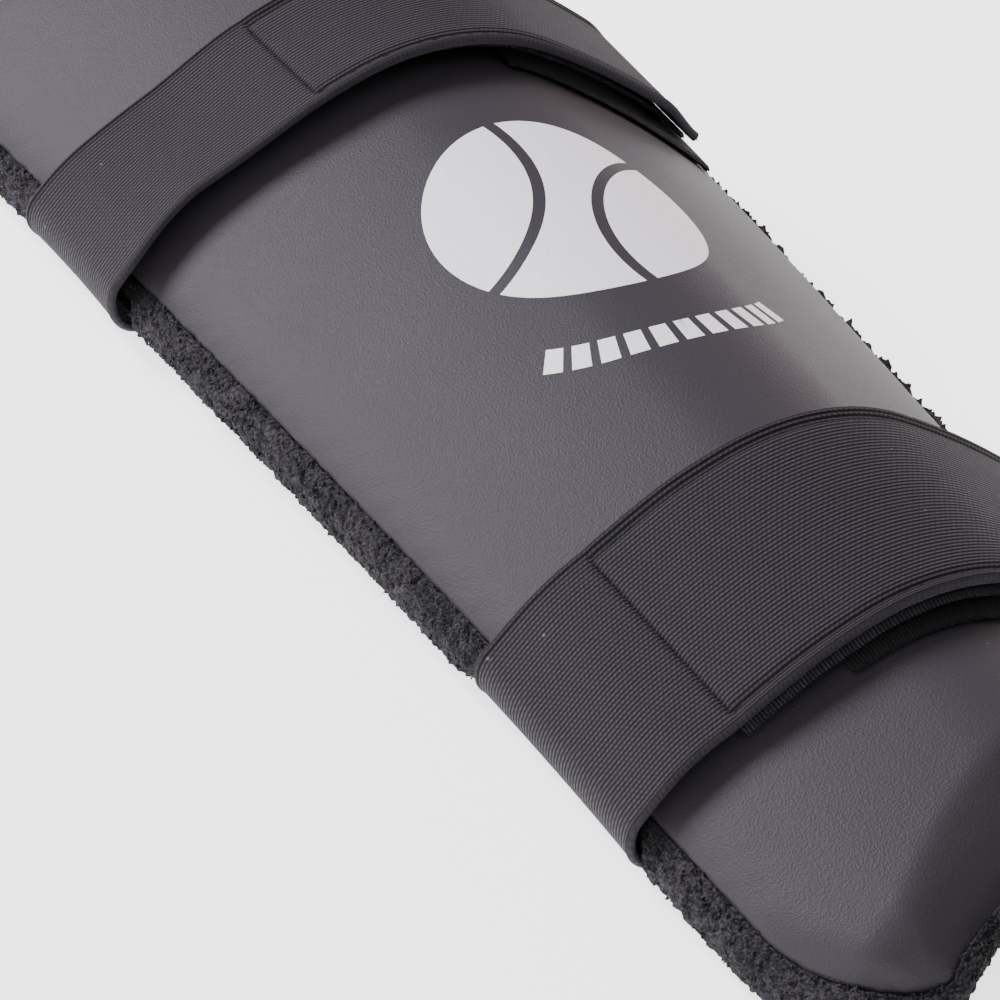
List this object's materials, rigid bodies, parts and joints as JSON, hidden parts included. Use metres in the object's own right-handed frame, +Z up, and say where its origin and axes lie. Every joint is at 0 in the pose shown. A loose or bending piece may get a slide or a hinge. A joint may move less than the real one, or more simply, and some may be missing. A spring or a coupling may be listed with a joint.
{
  "type": "cricket arm guard",
  "caption": "Padded half-shell forearm guard with a leather face, a towelling lining rolled round its edge and elastic straps with hook-and-loop tapes.",
  "frame": {"origin": "middle of the footprint, on the surface that the straps' lower runs rest on", "axes": "+Y along the guard from its wrist end to its elbow end, +Z up through the crown, +X across"},
  "size_m": [0.1342, 0.299, 0.0501],
  "materials": {
    "leather": "fine-grained, satin",
    "towelling": "looped pile, matt",
    "elastic": "ribbed knit, matt",
    "hook_tape": "moulded hooks on woven tape",
    "loop_tape": "brushed loops, matt"
  },
  "bodies": {
    "root": {"outer_shell": "leather", "towel_lining": "towelling", "elbow_strap": "elastic", "elbow_hook_tape": "hook_tape", "elbow_loop_tape": "loop_tape", "wrist_strap": "elastic", "wrist_hook_tape": "hook_tape", "wrist_loop_tape": "loop_tape"}
  },
  "joints": []
}
